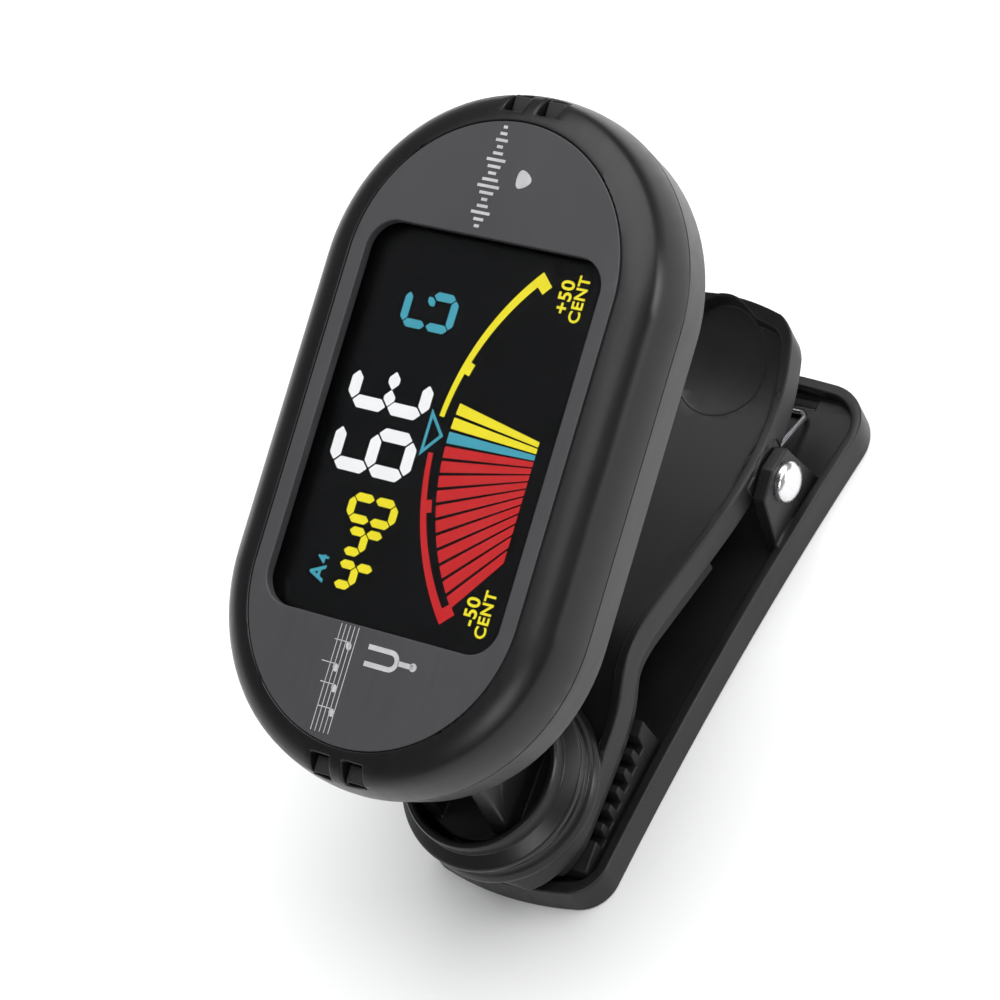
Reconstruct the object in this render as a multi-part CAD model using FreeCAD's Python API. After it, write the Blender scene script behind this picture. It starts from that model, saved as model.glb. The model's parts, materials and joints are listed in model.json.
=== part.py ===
import FreeCAD, Part
import math
import os

# A clip-on instrument tuner: an oval display head on a fork that tilts and
# swivels in a ribbed cup, and a sprung clip of two levers that grips a headstock.
#
# Frame: millimetres, +Z up, the clip closed and lying on the flat back of its
# back lever.  The origin is the middle of that flat back, +X runs from the jaw
# to the finger end, and every piece is symmetric about Y = 0 unless it says not.

V = FreeCAD.Vector
UP = V(0, 0, 1)
ACROSS = V(0, 1, 0)

# ---- back lever -------------------------------------------------------------
lever_length = 57.7          # tip to finger end
lever_tip_half = 9.8         # half width at the jaw
lever_finger_half = 12.0     # half width at the finger end
lever_waist = 1.0            # how far its long sides curve in between the ends
tip_bow = 1.6                # how far the jaw end's edge bows out
tip_corner = 3.4             # plan corners at the jaw end
finger_bow = 0.6
finger_corner = 4.8
lever_height = 3.2           # flat back to the top of the rim
lever_floor = 1.8            # floor of the tray
rim_width = 1.1
ear_inner = 8.2              # ears that carry the pin, half distance between them
ear_thickness = 1.4
slot_length = 10.6           # slot across the lever, by the spring's bail
slot_width = 1.0
slot_inset = 2.1             # slot's middle, in from the finger end

# ---- pivot and spring -------------------------------------------------------
pivot_x = 15.1
pivot_z = 7.2
pin_diameter = 2.0
pin_clearance = 0.05         # radial, pin in the front lever's lugs
pin_head_diameter = 3.9
pin_head_height = 1.2
wire = 0.6
coil_clearance = 0.1         # radial, pin to coil
coil_length = 3.0            # each of the two coils
coil_gap = 1.0               # between the lugs and the coils
coil_room = 0.15             # radial, coil to the front lever's recess
leg_length = 6.4             # spring's legs, forward from the pin under the front lever
leg_room = 0.2               # each side of a leg in its groove

# ---- front lever ------------------------------------------------------------
front_jaw_half = 8.3         # half width over the jaw
front_waist_half = 7.75      # between the jaw and the pin
front_pin_half = 7.95        # at the pin, between the ears
front_finger_half = 7.1      # at the finger end
front_corner = 2.3           # plan corners at the finger end
front_end_bow = 0.9          # how far its finger end bows out
front_jaw_corner = 7.2       # plan corners at the jaw end
front_rim = 1.0              # width of its side rims
front_rim_height = 0.9       # rims above the web
front_depth = 2.7            # web and rims together
dimple_x = 23.4
dimple_radius = 4.7
dimple_depth = 0.3
lug_thickness = 1.5
lug_gap = 0.15               # each side, lug to ear
lug_radius = 2.9

# ---- jaw rubber -------------------------------------------------------------
liner_thickness = 1.9
liner_inset = 0.8            # in from the front lever's outline
liner_end = 5.0
liner_room = 0.3             # liner to the back lever's rim
pad_half = 8.2
pad_start = -26.0
pad_end = -11.2
tooth_pitch = 1.75
tooth_count = 6
tooth_depth = 1.5
tooth_half = 0.42            # half width of a groove's floor
tooth_start = 2.4            # first groove, in from the pad's finger end
jaw_gap = 0.15               # liner to pad when the clip is shut

# ---- swivel cup -------------------------------------------------------------
cup_x = -23.3                # middle of the cup's top rim
cup_z = 14.4
cup_lean = 15.65             # degrees, cup axis leans towards the jaw
cup_height = 5.7
cup_radius = 7.7
cup_bore = 6.9
cup_floor = 4.2              # depth of the floor below the rim
flange_radius = 9.0
groove_radius = 8.1
ring_radius = 8.7
skirt_radius = 9.2
swivel_screw_diameter = 3.0
swivel_clearance = 0.05
cup_gap = 0.05               # skirt to the front lever's hump
washer_thickness = 0.4

# ---- fork and tilt pin ------------------------------------------------------
fork_disc_radius = 6.5
fork_disc_thickness = 2.0
tilt_height = 5.3            # tilt pin above the cup's rim
tongue_half = 2.6            # head's tongue, between the fork's arms
fork_gap = 0.12
fork_arm_thickness = 2.2
fork_arm_radius = 2.7
tilt_pin_diameter = 2.0
tilt_clearance = 0.04

# ---- head -------------------------------------------------------------------
head_x = -8.35               # middle of the face plate's surface
head_z = 44.15
head_pitch = 22.45           # degrees, finger end up
straight_half = 13.69        # half length of the face plate's straight sides
case_straight_half = 13.3    # half length of the casing's straight sides
plate_radius = 13.5
plate_thickness = 1.0
plate_gap = 0.05
shoulder_radius = 16.6
shoulder_depth = 1.46
side_radius = 17.24
parting_depth = 5.44
back_edge_radius = 16.66
back_edge_depth = 9.4
head_depth = 11.9
back_radius = 14.3
inner_radius = 15.4
front_wall = 2.4             # face to the inside of the front case
back_wall = 1.1
cover_floor = 1.2            # depth of the battery cover's seat
lip_height = 0.85
lip_width = 0.8
lip_gap = 0.05

window_length = 34.0
window_width = 24.0
window_corner = 2.7
lens_margin = 0.5
lens_thickness = 0.9
glass_length = 36.0
glass_width = 26.0
glass_thickness = 1.2
glass_corner = 0.5
light_thickness = 1.0
frame_wall = 0.8
frame_corner = 1.6
board_thickness = 0.8
board_gap = 0.2              # board's edge to the case wall
strip_width = 1.8

cell_diameter = 20.0
cell_thickness = 3.2
cell_x = 6.0
cell_gap = 0.3
cover_half = 11.4
cover_start = -6.0
cover_thickness = 1.1
cover_gap = 0.1
rail_width = 0.8
rail_thickness = 0.45

screw_x = 22.5
screw_y = 8.0
screw_diameter = 1.6
screw_head_diameter = 2.8
screw_head_height = 0.9
screw_length = 6.5
boss_radius = 2.0

notch_inner = 14.4           # radius where a key's notch starts
notch_near = 0.7             # notch's near side from the middle line
notch_width = 2.0
notch_depth = 2.0            # below the face plate's surface
key_length = 1.5
key_travel = 0.4
key_gap = 0.05


# ---- small helpers ----------------------------------------------------------
def polygon_face(points):
    """A flat face from a list of corner points."""
    return Part.Face(Part.makePolygon(list(points) + [points[0]]))


def side_face(points, y):
    """A face in the plane Y = y from its (x, z) corners."""
    return polygon_face([V(x, y, z) for x, z in points])


def side_prism(points, half_width):
    """A side view of (x, z) corners, made solid across Y."""
    return side_face(points, -half_width).extrude(ACROSS * (2 * half_width))


def block(x0, x1, half_width, z0, z1):
    return Part.makeBox(x1 - x0, 2 * half_width, z1 - z0, V(x0, -half_width, z0))


def rounded_block(length, width, z0, z1, corner):
    """A block about the Z axis with its upright edges rounded."""
    box = block(-length / 2, length / 2, width / 2, z0, z1)
    upright = [e for e in box.Edges if abs(e.Vertexes[0].Z - e.Vertexes[1].Z) > 1e-6]
    return box.makeFillet(corner, upright)


def cylinder_y(radius, y0, y1, x, z):
    return Part.makeCylinder(radius, y1 - y0, V(x, y0, z), ACROSS)


def rod(start, end, radius):
    return Part.makeCylinder(radius, (end - start).Length, start, end - start)


def both_sides(shape):
    """The shape and its mirror image in Y = 0."""
    return [shape, shape.mirror(V(0, 0, 0), ACROSS)]


def joined(first, *others):
    return first.fuse(list(others)).removeSplitter()


def stadium(profile, half_straight):
    """A ring or a disc of oval plan from its half section of (r, z) corners."""
    left = -half_straight
    near = polygon_face([V(left, -r, z) for r, z in profile])
    far = polygon_face([V(left, r, z) for r, z in profile])
    run = V(2 * half_straight, 0, 0)
    right_start = polygon_face([V(half_straight, -r, z) for r, z in profile])
    right_end = right_start.revolve(V(half_straight, 0, 0), UP, 180)
    left_end = far.revolve(V(left, 0, 0), UP, 180)
    return joined(near.extrude(run), far.extrude(run), right_end, left_end)


def stadium_disc(radius, z0, z1, half_straight):
    return stadium([(0, z0), (radius, z0), (radius, z1), (0, z1)], half_straight)


def arc_points(x0, z0, x1, z1, bulge, count):
    """Points on a shallow arc from one corner to the next; bulge is its height."""
    middle = V((x0 + x1) / 2, 0, (z0 + z1) / 2)
    chord = V(x1 - x0, 0, z1 - z0)
    normal = V(-chord.z, 0, chord.x).normalize()
    arc = Part.Arc(V(x0, 0, z0), middle + normal * bulge, V(x1, 0, z1))
    return [(p.x, p.z) for p in arc.toShape().discretize(count)]


def revolved(profile):
    """A turned piece about Z from its half section of (r, z) corners."""
    return side_face(profile, 0).revolve(V(0, 0, 0), UP, 360)


# ---- local frames -----------------------------------------------------------
head_place = FreeCAD.Placement(V(head_x, 0, head_z),
                               FreeCAD.Rotation(ACROSS, -head_pitch))
cup_place = FreeCAD.Placement(V(cup_x, 0, cup_z),
                              FreeCAD.Rotation(ACROSS, -cup_lean))
tilt_point = cup_place.multVec(V(0, 0, tilt_height))
tilt_in_head = head_place.inverse().multVec(tilt_point)
seat_point = cup_place.multVec(V(0, 0, -cup_height))
along_seat = cup_place.Rotation.multVec(V(1, 0, 0))


def on_head(shape):
    return shape.transformed(head_place.Matrix)


def on_cup(shape):
    return shape.transformed(cup_place.Matrix)


# ---- clip -------------------------------------------------------------------
tip_x = -lever_length / 2
finger_x = lever_length / 2
slot_x = finger_x - slot_inset
ear_outer = ear_inner + ear_thickness
lug_outer = ear_inner - lug_gap
lug_inner = lug_outer - lug_thickness
pin_radius = pin_diameter / 2
coil_inner = pin_radius + coil_clearance
coil_outer = coil_inner + wire


def upright_edges(shape, finger_side):
    """A tall shape's upright edges on one side of X = 0."""
    return [e for e in shape.Edges if len(e.Vertexes) == 2
            and abs(e.Vertexes[0].Z - e.Vertexes[1].Z) > 1
            and (e.Vertexes[0].X > 0) == finger_side]


def bowed(x, bow, half, z):
    """An end edge across Y that bows out to x at its middle."""
    return Part.Arc(V(x - bow, -half, z), V(x, 0, z), V(x - bow, half, z)).toShape()


def lever_plan(inset, z0, z1):
    """The back lever's tapered, waisted, round-cornered outline between two heights."""
    x0, x1 = tip_x + inset, finger_x - inset
    tip_half = lever_tip_half - inset
    finger_half = lever_finger_half - inset
    waist_half = (tip_half + finger_half) / 2 - lever_waist
    near = Part.Arc(V(x0 + tip_bow, -tip_half, z0), V(0, -waist_half, z0),
                    V(x1 - finger_bow, -finger_half, z0))
    far = Part.Arc(V(x1 - finger_bow, finger_half, z0), V(0, waist_half, z0),
                   V(x0 + tip_bow, tip_half, z0))
    outline = Part.Wire([near.toShape(), bowed(x1, finger_bow, finger_half, z0),
                         far.toShape(), bowed(x0, -tip_bow, tip_half, z0)])
    slab = Part.Face(outline).extrude(UP * (z1 - z0))
    slab = slab.makeFillet(finger_corner - inset, upright_edges(slab, True))
    return slab.makeFillet(tip_corner - inset, upright_edges(slab, False))


def make_back_lever():
    """Tray with a raised rim, two ears for the pin and a slot for the spring."""
    body = lever_plan(0, 0, lever_height)
    body = body.cut(lever_plan(rim_width, lever_floor, lever_height + 1))
    ear = side_face([(pivot_x - 4.9, lever_floor - 0.4), (pivot_x + 4.2, lever_floor - 0.4),
                     (pivot_x + 2.2, pivot_z + 2.2), (pivot_x - 0.6, pivot_z + 2.6),
                     (pivot_x - 3.3, pivot_z + 1.4)], ear_inner)
    ears = both_sides(ear.extrude(ACROSS * ear_thickness))
    body = joined(body, *ears)
    body = body.cut(cylinder_y(pin_radius, -ear_outer, ear_outer, pivot_x, pivot_z))
    slot = block(slot_x - slot_width / 2, slot_x + slot_width / 2, slot_length / 2,
                 -1, lever_floor + 1)
    return body.cut(slot)


def make_hinge_pin():
    """Plated pin, riveted to a domed head outside each ear."""
    pin = cylinder_y(pin_radius, -ear_outer, ear_outer, pivot_x, pivot_z)
    head_radius = pin_head_diameter / 2
    dome_radius = (head_radius ** 2 + pin_head_height ** 2) / (2 * pin_head_height)
    ball = Part.makeSphere(dome_radius, V(pivot_x, ear_outer + pin_head_height - dome_radius,
                                          pivot_z))
    keep = cylinder_y(head_radius, ear_outer, ear_outer + pin_head_height, pivot_x, pivot_z)
    return joined(pin, *both_sides(ball.common(keep)))


# Side view of the front lever, jaw to finger end.  Its jaw end lies square to
# the cup's axis, it humps over the jaw, dips at the pin and rises to the finger.
seat_near = seat_point + along_seat * 5.6
seat_far = seat_point - along_seat * 8.4
tall = 30
front_top = [(seat_far.x, seat_far.z), (seat_near.x, seat_near.z), (-12.4, 12.0),
             (-9.9, 13.7), (-6.6, 14.1), (-2.6, 13.3), (4.4, 11.5), (11.4, 10.4),
             (16.0, 10.4), (20.4, 11.1), (24.4, 12.9), (28.2, 15.8)]


def lowered(points, depth):
    """The same line moved square to itself, downwards."""
    moved = []
    last = len(points) - 1
    for i, (x, z) in enumerate(points):
        x0, z0 = points[max(i - 1, 0)]
        x1, z1 = points[min(i + 1, last)]
        run = math.hypot(x1 - x0, z1 - z0)
        moved.append((x + depth * (z1 - z0) / run, z - depth * (x1 - x0) / run))
    return moved


def smooth_strip(upper, lower, half_width):
    """A solid between two smooth lines of (x, z) points, straight across Y."""
    top = Part.BSplineCurve()
    top.interpolate([V(x, -half_width, z) for x, z in upper])
    bottom = Part.BSplineCurve()
    bottom.interpolate([V(x, -half_width, z) for x, z in lower])
    start = Part.LineSegment(bottom.StartPoint, top.StartPoint)
    end = Part.LineSegment(top.EndPoint, bottom.EndPoint)
    wire_loop = Part.Wire([start.toShape(), top.toShape(), end.toShape(), bottom.toShape()])
    return Part.Face(wire_loop).extrude(ACROSS * (2 * half_width))


def front_plan(inset):
    """The front lever's outline from above: round jaw end, bowed finger end."""
    jaw_end = seat_far.x + inset
    finger_end = front_top[-1][0] - inset
    side = [(jaw_end, front_jaw_half), (cup_x + cup_radius, front_jaw_half),
            (liner_end, front_waist_half), (pivot_x, front_pin_half),
            (finger_end - front_end_bow, front_finger_half)]
    near = Part.BSplineCurve()
    near.interpolate([V(x, -half + inset, 0) for x, half in side])
    far = Part.BSplineCurve()
    far.interpolate([V(x, half - inset, 0) for x, half in side])
    jaw = Part.makeLine(far.StartPoint, near.StartPoint)
    end = bowed(finger_end, front_end_bow, front_finger_half - inset, 0)
    slab = Part.Face(Part.Wire([near.toShape(), end, far.toShape(), jaw])).extrude(UP * tall)
    slab = slab.makeFillet(front_corner - inset, upright_edges(slab, True))
    return slab.makeFillet(front_jaw_corner - inset, upright_edges(slab, False))


def finger_dimple():
    """A shallow round dish that follows the finger pad's curve."""
    dish = smooth_strip(lowered(front_top, -front_rim_height),
                        lowered(front_top, front_rim_height + dimple_depth), dimple_radius)
    return dish.common(Part.makeCylinder(dimple_radius, tall, V(dimple_x, 0, 0)))


front_widest = max(front_jaw_half, front_pin_half) + 1
under_line = lowered(front_top, front_depth)
liner_low = lowered(under_line, liner_thickness)
pad_line = lowered(liner_low, jaw_gap)
coil_end = lug_inner - coil_gap          # coil's outer face
leg_y = coil_end - coil_length + wire / 2 + 0.05
leg_z = pivot_z + coil_inner + wire / 2


def make_front_lever():
    """Moulded lever: channel with side rims, finger dimple, lugs for the pin."""
    web_top = lowered(front_top, front_rim_height)
    body = smooth_strip(front_top, under_line, front_widest).common(front_plan(0))
    above = [(x, z + 6) for x, z in front_top]
    channel = smooth_strip(above, web_top, front_widest)
    seat_keep = block(seat_near.x - 1.2, finger_x + tall, front_widest, 0, tall)
    body = body.cut(channel.common(front_plan(front_rim)).common(seat_keep))
    body = body.cut(finger_dimple())
    lug = cylinder_y(lug_radius, lug_inner, lug_outer, pivot_x, pivot_z)
    lug_web = Part.makeBox(2 * lug_radius, lug_thickness, 2.4,
                           V(pivot_x - lug_radius, lug_inner, pivot_z))
    body = joined(body, *both_sides(lug.fuse(lug_web)))
    bore = pin_radius + pin_clearance
    body = body.cut(cylinder_y(bore, -lug_outer, lug_outer, pivot_x, pivot_z))
    body = body.cut(cylinder_y(coil_outer + coil_room, -lug_inner, lug_inner, pivot_x, pivot_z))
    groove = Part.makeBox(leg_length + 0.6, wire + 2 * leg_room, 2.5,
                          V(pivot_x, leg_y - wire / 2 - leg_room, leg_z + wire / 2 + 0.1 - 2.5))
    body = body.cut(both_sides(groove))
    screw_bore = Part.makeCylinder(swivel_screw_diameter / 2 + swivel_clearance, 12,
                                   V(0, 0, -cup_height - 6))
    cup_room = Part.makeCylinder(skirt_radius + cup_gap, 8, V(0, 0, -cup_height))
    return body.cut([on_cup(screw_bore), on_cup(cup_room)])


def make_jaw_liner():
    """Soft grey liner glued under the front lever, from the jaw to near the pin."""
    liner = smooth_strip(under_line, liner_low, front_widest).common(front_plan(liner_inset))
    liner = liner.common(lever_plan(rim_width + liner_room, 0, tall))
    liner = liner.common(block(tip_x, liner_end, front_widest, 0, tall))
    relief = Part.makeCylinder(swivel_screw_diameter, 13.5,
                               V(0, 0, -cup_height - front_depth - 12))
    return liner.cut(on_cup(relief))


def make_jaw_pad():
    """Toothed rubber wedge in the back lever's tray, under the liner."""
    surface = Part.BSplineCurve()
    surface.interpolate([V(x, -pad_half, z) for x, z in pad_line])
    line = surface.toShape()
    rise = UP * tall
    above = Part.Wire([line, Part.makeLine(surface.EndPoint, surface.EndPoint + rise),
                       Part.makeLine(surface.EndPoint + rise, surface.StartPoint + rise),
                       Part.makeLine(surface.StartPoint + rise, surface.StartPoint)])
    sky = Part.Face(above).extrude(ACROSS * (2 * pad_half))
    pad = side_prism([(pad_start, lever_floor), (pad_end, lever_floor),
                      (pad_end - 0.6, 9), (pad_start + 1.4, 9)], pad_half)
    pad = pad.common(lever_plan(rim_width + 0.1, lever_floor, tall)).cut(sky)
    heights = line.discretize(400)
    for i in range(tooth_count):
        x = pad_end - tooth_start - i * tooth_pitch
        z = min(heights, key=lambda p: abs(p.x - x)).z
        groove = side_prism([(x - tooth_half - 0.2, z + 1), (x - tooth_half, z - tooth_depth),
                             (x + tooth_half, z - tooth_depth), (x + tooth_half + 0.2, z + 1)],
                            pad_half)
        pad = pad.cut(groove)
    return pad


bail_end = V(slot_x - 1.4, coil_end - wire / 2 - 0.05, lever_floor + wire / 2 + 0.1)


def coil_and_legs():
    """One coil of the spring as its plain envelope, with its leg and half the bail."""
    inner = coil_end - coil_length
    coil = cylinder_y(coil_outer, inner, coil_end, pivot_x, pivot_z)
    coil = coil.cut(cylinder_y(coil_inner, inner, coil_end, pivot_x, pivot_z))
    leg = rod(V(pivot_x, leg_y, leg_z - 0.05), V(pivot_x + leg_length, leg_y, leg_z - 0.05),
              wire / 2)
    bail = rod(V(pivot_x, bail_end.y, pivot_z - coil_inner - wire / 2 + 0.05), bail_end, wire / 2)
    elbow = Part.makeSphere(wire / 2 + 0.02, bail_end)
    return coil.fuse([leg, bail, elbow])


def make_torsion_spring():
    """Double torsion spring: two coils on the pin, joined by a bail at the back."""
    cross = cylinder_y(wire / 2, -bail_end.y, bail_end.y, bail_end.x, bail_end.z)
    return joined(cross, *both_sides(coil_and_legs()))


# ---- swivel -----------------------------------------------------------------
def make_swivel_collar():
    """Ribbed cup pressed on the front lever; the fork turns inside it."""
    low = -cup_height
    outside = [(0, low), (skirt_radius, low), (skirt_radius - 0.2, low + 0.6),
               (ring_radius - 0.2, low + 1.2), (ring_radius, low + 1.7),
               (groove_radius, low + 2.1), (groove_radius, low + 2.4),
               (flange_radius, low + 2.8), (flange_radius, low + 3.5),
               (cup_radius - 0.1, low + 4.3), (cup_radius, -0.3), (cup_radius - 0.2, 0),
               (cup_bore, 0), (cup_bore, -cup_floor), (0, -cup_floor)]
    cup = revolved(outside)
    bore = swivel_screw_diameter / 2 + swivel_clearance
    return on_cup(cup.cut(Part.makeCylinder(bore, 12, V(0, 0, low - 1))))


def make_friction_washer():
    ring = Part.makeCylinder(cup_bore - 0.4, washer_thickness, V(0, 0, -cup_floor))
    hole = Part.makeCylinder(swivel_screw_diameter / 2 + 0.2, washer_thickness,
                             V(0, 0, -cup_floor))
    return on_cup(ring.cut(hole))


disc_low = -cup_floor + washer_thickness
disc_high = disc_low + fork_disc_thickness
arm_inner = tongue_half + fork_gap


def make_swivel_fork():
    """Turntable with two arms that hold the head's tongue."""
    disc = Part.makeCylinder(fork_disc_radius, fork_disc_thickness, V(0, 0, disc_low))
    arm = side_face([(-5.2, disc_high - 0.3), (5.2, disc_high - 0.3),
                     (fork_arm_radius, tilt_height), (-fork_arm_radius, tilt_height)], arm_inner)
    arm = arm.extrude(ACROSS * fork_arm_thickness)
    eye = cylinder_y(fork_arm_radius, arm_inner, arm_inner + fork_arm_thickness, 0, tilt_height)
    within = Part.makeCylinder(fork_disc_radius, 20, V(0, 0, disc_low))
    arms = both_sides(joined(arm, eye).common(within))
    fork = joined(disc, *arms)
    fork = fork.cut(cylinder_y(tilt_pin_diameter / 2, -9, 9, 0, tilt_height))
    bore = swivel_screw_diameter / 2
    return on_cup(fork.cut(Part.makeCylinder(bore, 12, V(0, 0, disc_low - 1))))


def make_swivel_screw():
    """Shoulder screw from the jaw side, through the lever and cup into the fork."""
    low = -cup_height - front_depth
    shank = Part.makeCylinder(swivel_screw_diameter / 2, disc_high - low, V(0, 0, low))
    head = Part.makeCylinder(swivel_screw_diameter * 0.9, 0.8, V(0, 0, low - 0.8))
    return on_cup(shank.fuse(head).removeSplitter())


def make_tilt_pin():
    length = arm_inner + fork_arm_thickness - 0.1
    return on_cup(cylinder_y(tilt_pin_diameter / 2, -length, length, 0, tilt_height))


# ---- head: display side -----------------------------------------------------
ledge_top = -plate_thickness
lens_low = ledge_top - lens_thickness
glass_top = lens_low - 0.1
glass_low = glass_top - glass_thickness
light_low = glass_low - light_thickness
board_top = light_low - 0.2
board_low = board_top - board_thickness
back_inside = -head_depth + cover_floor + back_wall
lens_length = window_length + 2 * lens_margin
lens_width = window_width + 2 * lens_margin
frame_length = glass_length + 2 * frame_wall
frame_width = glass_width + 2 * frame_wall


def key_middle(end, side):
    """Centre of a key in plan; end is -1 or 1 along the head, side across it."""
    return V(end * (straight_half + notch_inner + 0.1 + key_length / 2),
             side * (notch_near + notch_width / 2), 0)


def key_block(end, side, grow, length_in, z0, z1):
    """An upright block around one key; length_in widens it towards the middle."""
    middle = key_middle(end, side)
    half_x = key_length / 2 + grow
    half_y = notch_width / 2 - 0.1 + grow
    inner = middle.x - end * (half_x + length_in)
    outer = middle.x + end * half_x
    low, high = min(inner, outer), max(inner, outer)
    return Part.makeBox(high - low, 2 * half_y, z1 - z0, V(low, middle.y - half_y, z0))


def notch(end, side):
    """Notch in the shoulder, open to the outside, above one key."""
    low = straight_half + notch_inner
    depth = side_radius + 2 - notch_inner
    x = low if end > 0 else -low - depth
    y = notch_near if side > 0 else -notch_near - notch_width
    return Part.makeBox(depth, notch_width, 5, V(x, y, -notch_depth))


corners = [(end, side) for end in (-1, 1) for side in (-1, 1)]


def make_front_case():
    """Dark bezel: domed shoulder, seat for the plate, window and key notches."""
    shoulder = arc_points(plate_radius + 0.35, 0, shoulder_radius, -shoulder_depth, 0.3, 6)
    side = arc_points(shoulder_radius, -shoulder_depth, side_radius, -parting_depth, 0.18, 5)
    outside = [(0, -parting_depth), (0, 0)] + shoulder + side[1:]
    case = stadium(outside, case_straight_half)
    case = case.cut(stadium_disc(inner_radius, -parting_depth, -front_wall, case_straight_half))
    case = case.cut(stadium_disc(plate_radius + plate_gap, ledge_top, 1, straight_half))
    case = case.cut(rounded_block(lens_length + 0.1, lens_width + 0.1, lens_low, 0,
                                  window_corner))
    case = case.cut(rounded_block(frame_length + 0.2, frame_width + 0.2, -parting_depth,
                                  lens_low, frame_corner))
    lip = stadium([(inner_radius, -parting_depth), (inner_radius + lip_width, -parting_depth),
                   (inner_radius + lip_width, -parting_depth - lip_height),
                   (inner_radius, -parting_depth - lip_height)], case_straight_half)
    case = joined(case, lip)
    for end, side in corners:
        case = case.cut(notch(end, side))
        case = case.cut(key_block(end, side, key_gap, 0, -parting_depth, 0))
        post = Part.makeCylinder(boss_radius, parting_depth - front_wall,
                                 V(end * screw_x, side * screw_y, -parting_depth))
        case = case.fuse(post)
    for end, side in corners:
        hole = Part.makeCylinder(screw_diameter / 2 - 0.1, parting_depth - front_wall - 0.2,
                                 V(end * screw_x, side * screw_y, -parting_depth))
        case = case.cut(hole)
    return on_head(case.removeSplitter())


def make_face_plate():
    plate = stadium_disc(plate_radius, ledge_top, 0, straight_half)
    window = rounded_block(window_length, window_width, -2, 1, window_corner)
    return on_head(plate.cut(window))


def make_display_lens():
    return on_head(rounded_block(lens_length, lens_width, lens_low, ledge_top, window_corner))


def make_display_frame():
    outer = rounded_block(frame_length, frame_width, board_top, glass_top, frame_corner)
    inner = rounded_block(glass_length + 0.1, glass_width + 0.1, board_top - 1, 0, glass_corner)
    return on_head(outer.cut(inner))


def make_lcd_panel():
    return on_head(rounded_block(glass_length, glass_width, glass_low, glass_top, glass_corner))


def make_backlight():
    width = glass_width - strip_width - 0.6
    panel = rounded_block(glass_length - 0.6, width, light_low, glass_low, 0.5)
    panel.translate(V(0, (strip_width + 0.2) / 2, 0))
    return on_head(panel)


def make_contact_strip():
    """Striped elastomer that joins the glass to the board along one edge."""
    y = -glass_width / 2 + 0.1
    strip = Part.makeBox(glass_length - 4, strip_width, glass_low - board_top,
                         V(-glass_length / 2 + 2, y, board_top))
    return on_head(strip)


def make_circuit_board():
    board = stadium_disc(inner_radius - board_gap, board_low, board_top, case_straight_half)
    for end, side in corners:
        hole = Part.makeCylinder(boss_radius + 0.15, 3,
                                 V(end * screw_x, side * screw_y, board_low - 1))
        board = board.cut(hole)
    return on_head(board)


def make_tuner_chip():
    body = rounded_block(7, 7, board_low - 1.1, board_low, 0.4)
    body.translate(V(-15.5, 3.5, 0))
    return on_head(body)


def make_crystal():
    can = rounded_block(5.6, 2.2, board_low - 1.3, board_low, 1.0)
    can.translate(V(-15.5, -5.5, 0))
    return on_head(can)


def make_key(end, side):
    """Rubber key: cap in the notch, wide foot that cannot pull out, stem to the board."""
    cap = key_block(end, side, 0, 0, -front_wall - 0.1, -notch_depth + 0.5)
    foot = key_block(end, side, 0.0, 0.9, -front_wall - 0.6, -front_wall - 0.1)
    stem = key_block(end, side, -0.25, 0.3, board_top + key_travel + 0.05, -front_wall - 0.6)
    room = stadium_disc(inner_radius - 0.15, -parting_depth, -front_wall - 0.05,
                        case_straight_half)
    return on_head(joined(cap, joined(foot, stem).common(room)))


# ---- head: back and power ---------------------------------------------------
def screw_place(end, side):
    """Top of the screw head's seat; the far pair sits under the battery cover."""
    seat = -head_depth + (cover_floor if end > 0 else 0)
    return V(end * screw_x, side * screw_y, seat)


def cover_outline(grow, z0, z1):
    """Battery cover in plan: straight sides, run out over the head's far end."""
    start = cover_start - grow
    half = cover_half + grow
    length = straight_half + side_radius + 5 - start
    slab = block(start, start + length, half, z0, z1)
    return slab


def back_shell(depth, edge_radius, edge_depth, flat_radius, top_radius, top):
    """The rear casing's outside (or inside) as a solid."""
    rounding = arc_points(edge_radius, -edge_depth, flat_radius, -depth, -0.55, 7)
    side = [(top_radius, -top)]
    return stadium([(0, -top)] + side + rounding + [(0, -depth)], case_straight_half)


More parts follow.
